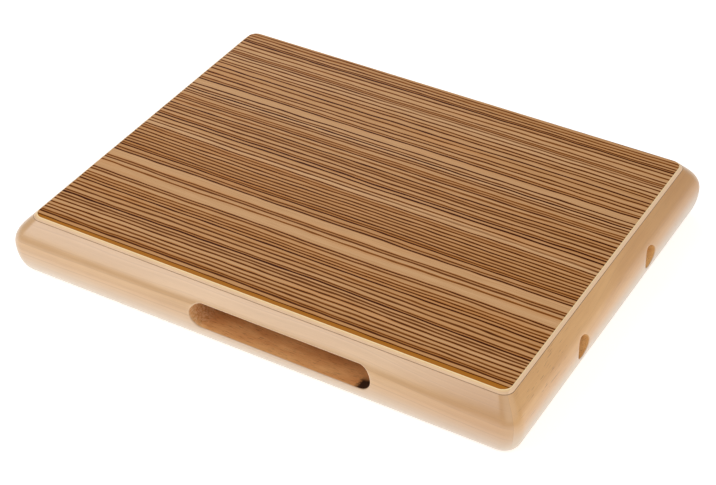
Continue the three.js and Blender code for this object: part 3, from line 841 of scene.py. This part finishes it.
def striped_veneer():
    """Pale and dark tan veneer with thin dark lines along X."""
    paint = Paint("striped_veneer_lacquered")
    x, y, z = paint.axes()
    slow = paint.noise((230, 55, 400), (3.1, 7.7, 0), detail=1.5)
    quick = paint.noise((46, 16, 400), (1.3, 2.9, 0), detail=1)
    corner = paint.times(paint.span(x, -70, -212), paint.span(y, -112, -162))
    across = paint.times(paint.math("SUBTRACT", slow, 0.5), SLOW_BEND, y)
    across = paint.times(paint.math("SUBTRACT", quick, 0.5), QUICK_BEND, across)
    across = paint.times(corner, EDGE_BAND * 0.15, across)
    wobble = paint.noise((24, 4.5, 400), (6.4, 1.1, 0), detail=1)
    across = paint.times(paint.math("SUBTRACT", wobble, 0.5), FINE_BEND, across)

    half = PLATE_HALF_Y + TONE_MARGIN
    tone_place = paint.times(across, 1 / (2 * half), 0.5)
    stops = [((place + half) / (2 * half), (tone, tone, tone)) for place, tone in VENEER_TONES]
    tone = paint.ramp(tone_place, stops)
    drift = paint.noise((170, 3.0, 400), (8.2, 0, 0), detail=2)
    drift = paint.times(drift, TONE_DRIFT, -TONE_DRIFT / 2)
    tone = paint.math("ADD", tone, drift, clamp=True)
    ground = paint.mix(tone, GROUND_DARK, GROUND_PALE)
    warm = paint.noise((120, 9, 400), (2.2, 4.4, 0), detail=2)
    ground = paint.over(ground, GROUND_WARM, warm, 0.5, 0.75, 0.3)
    rose = paint.noise((34, 2.2, 400), (5.1, 9.4, 0), detail=2)
    ground = paint.over(ground, GROUND_ROSE, rose, 0.48, 0.7, 0.25)
    fibre = paint.noise((24, 0.36, 400), roughness=0.65)
    ground = paint.over(ground, GROUND_FIBRE, fibre, 0.3, 0.8, 0.3)

    cells = line_cells(paint, across)
    per_mm = paint.math("SUBTRACT", line_cells(paint, paint.math("ADD", across, 1.0)), cells)
    main, halo = veneer_lines(
        paint, cells, per_mm, shift=0, randomness=0.42, half_width=0.71, share=0.86)
    finer = paint.times(cells, THIN_LINES)
    thin = veneer_lines(
        paint, finer, per_mm, shift=97, randomness=0.9, half_width=0.5, share=0.3)[0]
    keep = paint.span(tone, 1.0, 0.85, 0.5, 1.0)
    line = paint.times(main, keep)
    halo = paint.times(paint.times(halo, 0.85), keep)
    ground = paint.mix(halo, ground, GROUND_HALO)
    ground = paint.mix(paint.times(thin, 0.3), ground, GROUND_FIBRE)
    band_edge = EDGE_BAND - PLATE_HALF_Y
    band = paint.span(across, band_edge + 0.3, band_edge, 0.0, 0.92)
    line = paint.times(line, paint.math("SUBTRACT", 1.0, band))
    colour = paint.mix(line, ground, VENEER_LINE)
    colour = paint.mix(band, colour, BAND_BROWN)
    # Painted highlight: the veneer's rounded top edge and cut side laid pale
    colour = paint.over(colour, CUT_VENEER_HIGHLIGHT, z, PLATE_TOP_Z - 0.03, PLATE_TOP_Z - 0.14)
    relief = paint.times(line, -0.8, paint.times(fibre, 0.5))
    return paint.finish(colour, (fibre, 0.12, 0.32), (relief, 0.05, 0.4), Specular_IOR_Level=0.025)


# Solid wood in millimetres: how far the middle of the rings swings past the face, over what
# run, how far slow waves bend the rings, and their widths. Tones are pale, dark and fleck.
PITH_SWING = 14
PITH_RUN = 62
RING_SWAY = 14
RING_TWIST = 7
RING_WIDTH = 3.4
LATE_RING_WIDTH = 5.5
# Paler rims: wear, and a painted highlight along the rims of the holes
WORN_RIM_HIGHLIGHT = srgb(250, 226, 190)
FLECK = srgb(150, 98, 54)
RAIL_TONES = [srgb(213, 167, 110), srgb(197, 149, 90), FLECK]
END_TONES = [srgb(236, 184, 116), srgb(220, 164, 98), FLECK]
INNER_TONES = [srgb(206, 164, 112), srgb(172, 126, 78), FLECK]
DEEP_TONE = srgb(182, 122, 48)
# Painted shade of the rounded corner, along the mitre
CORNER_SHADE_TONE = srgb(204, 156, 98)
# Painted glare of the bright floor on the lower part of a rail
FLOOR_GLARE_TONE = srgb(206, 206, 198)
SLOT_TONES = [srgb(236, 186, 126), srgb(212, 148, 90), srgb(112, 66, 36)]
PORT_TONES = [srgb(250, 206, 140), srgb(226, 170, 104), srgb(128, 80, 44)]
TORN_WOOD = srgb(250, 210, 164)
# Near-black patch low at the slot's right end
DARK_SLOT_END = srgb(34, 16, 8)

# Other materials: their darkest and palest tones, and the sizes of their patterns
PLY_EDGE_TONES = [srgb(214, 176, 136), srgb(232, 196, 158)]
FIRST_PLY = srgb(232, 194, 142)
PLY_END = srgb(242, 206, 168)
DARK_PLY_TONES = [srgb(138, 104, 76), srgb(170, 134, 102)]
PANEL_TONES = [srgb(186, 140, 88), srgb(222, 186, 138)]
PANEL_ARCH = 120
PANEL_RING_WIDTH = 9
ZINC_TONES = [srgb(150, 148, 140), srgb(206, 204, 196)]
STEEL_TONES = [srgb(128, 130, 134), srgb(186, 188, 192)]
BLACK_STEEL_TONES = [srgb(30, 30, 33), srgb(62, 62, 66)]
FELT_TONES = [srgb(38, 38, 42), srgb(84, 84, 90)]
WIRE_TONES = [srgb(150, 146, 140), srgb(206, 204, 200)]
WINDING_PITCH = 0.35
FLOOR_TONES = [(0.86, 0.86, 0.86), (0.88, 0.88, 0.88)]


def solid_wood(name, along, pith, seed, crossing=0, figure=0.4, dashes=0.15, dash_place=0,
               deepening=(0, 100, 0), floor_glare=(22, 45, 0.4), tones=RAIL_TONES, coat=1.0, sheen=0.75):
    """Light close-grained wood. along is the grain's axis, and pith the middle of the rings at
    the place crossing, where it swings past the face, so that the rings come out as long arches.
    figure says how strongly the rings show, and dashes the short pores near dash_place. The wood
    gets darker along its length by deepening, and paler towards the back by floor_glare, a painted
    glare of the bright floor: both are [from, to, share]. The shade of the rounded corner is
    painted in along the mitre, and the rims of the holes are painted paler, as wear and as a
    painted highlight."""
    pale, dark, fleck = tones
    paint = Paint(name)
    shift = (seed * 3.7, seed * 5.3, seed * 2.1)
    x, y, z = paint.axes()
    across = [part for part, axis in zip((x, y, z), "XYZ") if axis != along]
    lengthwise = dict(zip("XYZ", (x, y, z)))[along]
    sway = paint.grain(along, 230, 70, shift, detail=1.5)
    twist = paint.grain(along, 150, 40, shift[::-1], detail=1.5)
    a = paint.math("ADD", across[0], paint.times(sway, RING_SWAY, -pith[0] - RING_SWAY / 2))
    swing = paint.math("TANH", paint.times(lengthwise, 1 / PITH_RUN, -crossing / PITH_RUN))
    a = paint.times(swing, PITH_SWING, a)
    b = paint.math("ADD", across[1], paint.times(twist, RING_TWIST, -pith[1] - RING_TWIST / 2))
    radius = paint.math("SQRT", paint.times(a, a, paint.times(b, b)))
    rings = paint.noise_1d(radius, RING_WIDTH, detail=2)
    cloud = paint.grain(along, 90, 26, shift)
    tone = paint.times(rings, figure, paint.times(cloud, 1 - figure))
    colour = paint.mix(paint.span(tone, 0.3, 0.72), dark, pale)
    colour = paint.over(colour, DEEP_TONE, lengthwise, *deepening)
    distance, random_colour = paint.cells_1d(radius, 1 / LATE_RING_WIDTH, 1.0)
    late = paint.times(paint.span(distance, 0.1, 0.01), paint.separate(random_colour)[0])
    colour = paint.mix(paint.times(late, figure * 0.75), colour, fleck)
    fibre = paint.grain(along, 18, 0.42, shift, roughness=0.6)
    colour = paint.over(colour, fleck, fibre, 0.3, 0.75, 0.12)
    dash = paint.grain(along, 13, 0.8, shift, detail=1)
    from_place = paint.math("ABSOLUTE", paint.math("SUBTRACT", lengthwise, dash_place))
    near_place = paint.span(from_place, 65, 20, 0.1, dashes)
    dash = paint.times(paint.span(dash, 0.64, 0.72), near_place)
    colour = paint.mix(dash, colour, fleck)
    off_mitre = paint.math("SUBTRACT", paint.math("ABSOLUTE", x), paint.math("ABSOLUTE", y))
    off_mitre = paint.math("ABSOLUTE", paint.math("SUBTRACT", off_mitre, CAVITY_HALF_X - CAVITY_HALF_Y))
    # Painted shade of the rounded corner, within 16 mm of the mitre
    colour = paint.over(colour, CORNER_SHADE_TONE, off_mitre, 16, 1, 0.6)
    colour = paint.over(colour, fleck, off_mitre, 0.28, 0.1, 0.25)
    # Painted highlight and wear: the rims of the holes painted paler
    rim = paint.node("ShaderNodeNewGeometry").outputs["Pointiness"]
    worn_highlight = paint.times(paint.span(rim, 0.51, 0.54, 0.0, 0.6), paint.span(off_mitre, 4, 8))
    joint_z = PLATE_TOP_Z - PLATE_DEPTH
    worn_highlight = paint.times(worn_highlight, paint.span(z, joint_z - 1, joint_z - 2.5))
    colour = paint.mix(worn_highlight, colour, WORN_RIM_HIGHLIGHT)
    # Painted glare of the bright floor: paler towards the back
    glare_from, glare_to, glare_share = floor_glare
    glare_top, glare_low = PLATE_TOP_Z - glare_from, PLATE_TOP_Z - glare_to
    colour = paint.over(colour, FLOOR_GLARE_TONE, z, glare_top, glare_low, glare_share * coat)
    smear = paint.noise((60, 60, 60), shift)
    relief = paint.math("SUBTRACT", paint.times(fibre, 0.5), dash)
    return paint.finish(
        colour, (smear, 0.16, 0.36), (relief, 0.02, 0.3), Specular_IOR_Level=0.1, Coat_Weight=coat,
        Coat_Roughness=0.32, Coat_IOR=2.15, Sheen_Weight=sheen * coat, Sheen_Roughness=0.3,
        Sheen_Tint=(0.88, 0.96, 1, 1))


def cut_wood(name, along, seed, tones):
    """Inside of a slot or port: thinly finished, redder, with marks of the cutter. The slot is
    torn at its left end and nearly black low at its right end."""
    pale, dark, mark = tones
    paint = Paint(name)
    shift = (seed * 4.1, seed * 1.7, seed * 6.3)
    x, y, z = paint.axes()
    fibre = paint.grain(along, 9, 0.5, shift, roughness=0.6)
    cloud = paint.grain(along, 34, 7, shift)
    tone = paint.times(fibre, 0.5, paint.times(cloud, 0.6))
    colour = paint.mix(paint.span(tone, 0.35, 0.8), dark, pale)
    scratch = paint.grain(along, 7, 0.55, shift[::-1], detail=1)
    colour = paint.over(colour, mark, scratch, 0.6, 0.72, 0.6)
    slot_left, slot_right = SLOT_CENTRE_X - SLOT_LENGTH / 2, SLOT_CENTRE_X + SLOT_LENGTH / 2
    slot_floor = PORT_Z - SLOT_HEIGHT / 2
    torn_place = paint.span(x, slot_left + 15, slot_left + 2)
    splinter = paint.noise((2.2, 2.2, 1.4), shift, roughness=0.7)
    torn = paint.times(torn_place, paint.span(splinter, 0.42, 0.6))
    colour = paint.mix(paint.times(torn, 0.7), colour, TORN_WOOD)
    # Near-black patch low at the slot's right end, on its outer part
    dark_place = paint.math("ADD", x, paint.times(splinter, 7))
    low = paint.span(z, slot_floor + 9, slot_floor + 5)
    outer = paint.span(y, -CAVITY_HALF_Y - 17, -CAVITY_HALF_Y - 24)
    dark_patch = paint.span(dark_place, slot_right - 12, slot_right - 7)
    dark_patch = paint.times(paint.times(dark_patch, low), outer)
    colour = paint.mix(paint.times(dark_patch, 0.97), colour, DARK_SLOT_END)
    relief = paint.times(torn, 2.0, fibre)
    return paint.finish(colour, (fibre, 0.2, 0.5), (relief, 0.12, 0.6),
                        Specular_IOR_Level=0.25, Coat_Weight=0.1, Coat_Roughness=0.4)


def plywood_edge():
    """Cut edge of the plate's core: end grain and long grain streaks, lacquered."""
    paint = Paint("light_ply_edge")
    streak = paint.noise((7, 7, 0.35), roughness=0.6)
    cloud = paint.noise((34, 34, 34), detail=2)
    tone = paint.times(streak, 0.6, paint.times(cloud, 0.5))
    colour = paint.mix(paint.span(tone, 0.3, 0.8), *PLY_EDGE_TONES)
    x, y, z = paint.axes()
    from_middle = paint.math("ABSOLUTE", x)
    colour = paint.over(colour, FIRST_PLY, z, PLATE_TOP_Z - 1.4, PLATE_TOP_Z - 0.9, 0.9)
    colour = paint.over(colour, PLY_END, from_middle, PLATE_HALF_X - 0.5, PLATE_HALF_X + 0.5)
    return paint.finish(colour, (streak, 0.15, 0.38), (streak, 0.05, 0.4),
                        Coat_Weight=0.2, Coat_Roughness=0.3)


def dark_ply():
    """Thin dark layer under the core, seen as a line all round."""
    paint = Paint("dark_back_veneer")
    streak = paint.noise((12, 12, 0.3))
    return paint.finish(paint.mix(streak, *DARK_PLY_TONES), (streak, 0.2, 0.5), (streak, 0.04, 0.4))


def panel_plywood():
    """Rotary-cut face of the back panel, with long arches in its grain."""
    paint = Paint("back_plywood")
    bend = paint.noise((260, 90, 400), (4, 1, 0), detail=2)
    across = paint.times(bend, PANEL_ARCH, paint.axes()[1])
    rings = paint.noise_1d(across, PANEL_RING_WIDTH, detail=3)
    fibre = paint.noise((22, 0.5, 10), roughness=0.6)
    tone = paint.times(rings, 0.7, paint.times(fibre, 0.35))
    colour = paint.mix(paint.span(tone, 0.3, 0.8), *PANEL_TONES)
    return paint.finish(colour, (fibre, 0.16, 0.38), (fibre, 0.04, 0.4),
                        Coat_Weight=0.15, Coat_Roughness=0.35)


def metal(name, tones, rough, scratch=(40, 0.5, 0.5)):
    """Metal with blotches, and with scratches as long as the spans of scratch."""
    paint = Paint(name)
    lines = paint.noise(scratch, roughness=0.65)
    blotch = paint.noise((6, 6, 6))
    tone = paint.times(lines, 0.5, paint.times(blotch, 0.5))
    colour = paint.mix(paint.span(tone, 0.3, 0.7), *tones)
    return paint.finish(colour, (tone, 0.25, rough), (lines, 0.01, 0.3), Metallic=1.0)


def felt():
    """Dense dark felt."""
    paint = Paint("dark_felt")
    fuzz = paint.noise((0.5, 0.5, 0.5), detail=4, roughness=0.7)
    tufts = paint.noise((2.5, 2.5, 2.5))
    tone = paint.times(fuzz, 0.6, paint.times(tufts, 0.4))
    colour = paint.mix(tone, *FELT_TONES)
    return paint.finish(colour, (fuzz, 0.1, 0.88), (fuzz, 0.2, 0.8),
                        Sheen_Weight=0.4, Sheen_Roughness=0.5)


def wound_wire():
    """Snare wire with the ridges of its winding."""
    paint = Paint("wound_wire")
    turn = paint.math("SINE", paint.times(paint.axes()[0], 2 * math.pi / WINDING_PITCH))
    tarnish = paint.noise((9, 2, 2))
    colour = paint.mix(tarnish, *WIRE_TONES)
    return paint.finish(colour, (tarnish, 0.2, 0.22), (turn, 0.05, 0.7), Metallic=1.0)


def floor_paint():
    """Pale, very slightly mottled floor, lit through from below like a light table."""
    paint = Paint("pale_floor")
    mottle = paint.noise((300, 300, 300), detail=2)
    colour = paint.mix(mottle, *FLOOR_TONES)
    return paint.finish(colour, (mottle, 0.1, 0.8), Specular_IOR_Level=0.1,
                        Emission_Color=(1, 1, 1, 1), Emission_Strength=FLOOR_GLOW)


# Materials of the pieces
VENEER = striped_veneer()
LIGHT_PLY = plywood_edge()
DARK_PLY = dark_ply()
FRONT_WOOD = solid_wood(
    "front_rail_wood", "X", (-178, -14), 1, crossing=100, figure=0.42, deepening=(100, 200, 0.42))
REAR_WOOD = solid_wood("rear_rail_wood", "X", (176, -20), 2, crossing=-60)
LEFT_WOOD = solid_wood("left_rail_wood", "Y", (-222, -30), 3, crossing=-70, figure=0.3)
RIGHT_WOOD = solid_wood(
    "right_rail_wood", "Y", (250, -50), 4, figure=0.2, dashes=0.8, dash_place=-115,
    deepening=(-60, 170, 0.6), floor_glare=(15, 38, 0.66), tones=END_TONES, coat=0.75, sheen=0.5)
SLOT_WOOD = cut_wood("slot_wood", "X", 6, SLOT_TONES)
PORT_WOOD = cut_wood("port_wood", "Y", 7, PORT_TONES)
INNER_WOOD = solid_wood("inner_hardwood", "Y", (-120, -40), 5, tones=INNER_TONES, coat=0.0)
PANEL_PLY = panel_plywood()
ZINC = metal("zinc_plating", ZINC_TONES, 0.25, (3, 3, 0.5))
STEEL = metal("brushed_steel", STEEL_TONES, 0.28)
DARK_STEEL = metal("black_oxide", BLACK_STEEL_TONES, 0.35, (6, 6, 2))
FELT = felt()
WIRE = wound_wire()


# Plate
finish_piece(ply("plate_face_veneer", [
    *[(PLATE_EDGE_ROUNDING * depth, PLATE_EDGE_ROUNDING * swell) for depth, swell in SOFT_EDGE],
    (VENEER_DEPTH, VENEER_DEPTH),
]), "case", "striped_veneer", [VENEER], "tapa_face_veneer")
finish_piece(ply("plate_core", [
    *[(depth, depth) for depth in (VENEER_DEPTH, *BEVEL_ROWS, PLATE_BEVEL)],
    (CORE_DEPTH, swell_at(CORE_DEPTH)),
]), "case", "light_ply", [LIGHT_PLY], "tapa_core")
finish_piece(ply("plate_back_veneer", [
    (CORE_DEPTH, swell_at(CORE_DEPTH)),
    (PLATE_DEPTH, swell_at(PLATE_DEPTH) - JOINT_GROOVE),
]), "case", "dark_veneer", [DARK_PLY], "tapa_back_veneer")

# Frame
slot = Hole(SLOT_CENTRE_X, PORT_Z, SLOT_LENGTH, SLOT_HEIGHT)
ports = [Hole(sign * PORT_Y, PORT_Z, PORT_DIAMETER, PORT_DIAMETER) for sign in (-1, 1)]
slot_rims = (SLOT_ROUNDING, SLOT_INNER_ROUNDING)
port_rims = (PORT_ROUNDING, ARRIS)
for name, side, holes, rims, tunnel, woods in [
    ("front_rail", FRONT, [slot], slot_rims, SlotTunnel(), [FRONT_WOOD, SLOT_WOOD]),
    ("rear_rail", REAR, [], slot_rims, SlotTunnel(), [REAR_WOOD]),
    ("left_rail", LEFT, [], slot_rims, SlotTunnel(), [LEFT_WOOD]),
    ("right_rail", RIGHT, ports, port_rims, PortTunnel(), [RIGHT_WOOD, PORT_WOOD]),
]:
    piece = rail(name + "_rounded", side, holes, *rims, tunnel)
    finish_piece(piece, "case", "frame_wood", woods, name)

# Screws and washers
for name in [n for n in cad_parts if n.startswith("back_panel_screw_")]:
    finish_piece(countersunk_screw(name + "_head", name), "case", "zinc_steel", [ZINC], name)
for side_name in ("front", "rear"):
    for number in (1, 2):
        name = f"anchor_screw_{side_name}_{number}"
        finish_piece(anchor_screw(name + "_head", name), "case", "zinc_steel", [ZINC], name)
    name = f"tension_washer_{side_name}"
    finish_piece(washer(name + "_pressed", name), "case", "zinc_steel", [ZINC], name)
    name = f"tension_screw_{side_name}"
    body = f"{side_name}_tension_screw"
    finish_piece(tension_screw(name + "_threaded", name), body, "dark_steel", [DARK_STEEL], name)

# CAD nodes that stay, with their materials by name
KEPT = {
    "corner_spline": INNER_WOOD, "back_panel": PANEL_PLY, "string_anchor_block": INNER_WOOD,
    "anchor_plate": STEEL, "string_carrier": STEEL, "carrier_nut": ZINC, "carrier_felt": FELT,
    "snare_string": WIRE,
}
for name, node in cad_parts.items():
    kind = next((key for key in KEPT if name.startswith(key)), None)
    if kind and not name.startswith("back_panel_screw"):
        for material_slot in node.material_slots:
            material_slot.material = KEPT[kind]


# Stage
def floor():
    mesh = bpy.data.meshes.new("floor")
    corners = [(x * FLOOR_REACH, y * FLOOR_REACH, 0) for x, y in ((-1, -1), (1, -1), (1, 1), (-1, 1))]
    mesh.from_pydata(corners, [], [(0, 1, 2, 3)])
    mesh.materials.append(floor_paint())
    plane = add_object("floor", mesh)


def camera():
    azimuth, elevation = math.radians(CAMERA_AZIMUTH), math.radians(CAMERA_ELEVATION)
    target = Vector(CAMERA_TARGET) * MM
    away = Vector((
        math.sin(azimuth) * math.cos(elevation),
        -math.cos(azimuth) * math.cos(elevation),
        math.sin(elevation),
    ))
    data = bpy.data.cameras.new("camera")
    data.lens = CAMERA_LENS
    data.sensor_width = SENSOR_WIDTH
    placed = add_object("camera", data)
    placed.location = target + away * CAMERA_DISTANCE * MM
    placed.rotation_euler = (-away).to_track_quat("-Z", "Y").to_euler()
    bpy.context.scene.camera = placed


def area_light(name, place, aim, size, power, tint):
    data = bpy.data.lights.new(name, "AREA")
    data.shape = "RECTANGLE"
    data.size, data.size_y = size
    data.energy = power
    data.color = tint
    light = add_object(name, data)
    light.location = place
    light.rotation_euler = (Vector(aim) - Vector(place)).to_track_quat("-Z", "Y").to_euler()


def sky():
    world = bpy.data.worlds.new("studio")
    world.use_nodes = True
    background = world.node_tree.nodes["Background"]
    background.inputs["Color"].default_value = (1, 1, 1, 1)
    background.inputs["Strength"].default_value = SKY_STRENGTH
    bpy.context.scene.world = world


floor()
camera()
sky()
for light in LIGHTS:
    area_light(*light)
bpy.context.scene.view_settings.view_transform = "Standard"
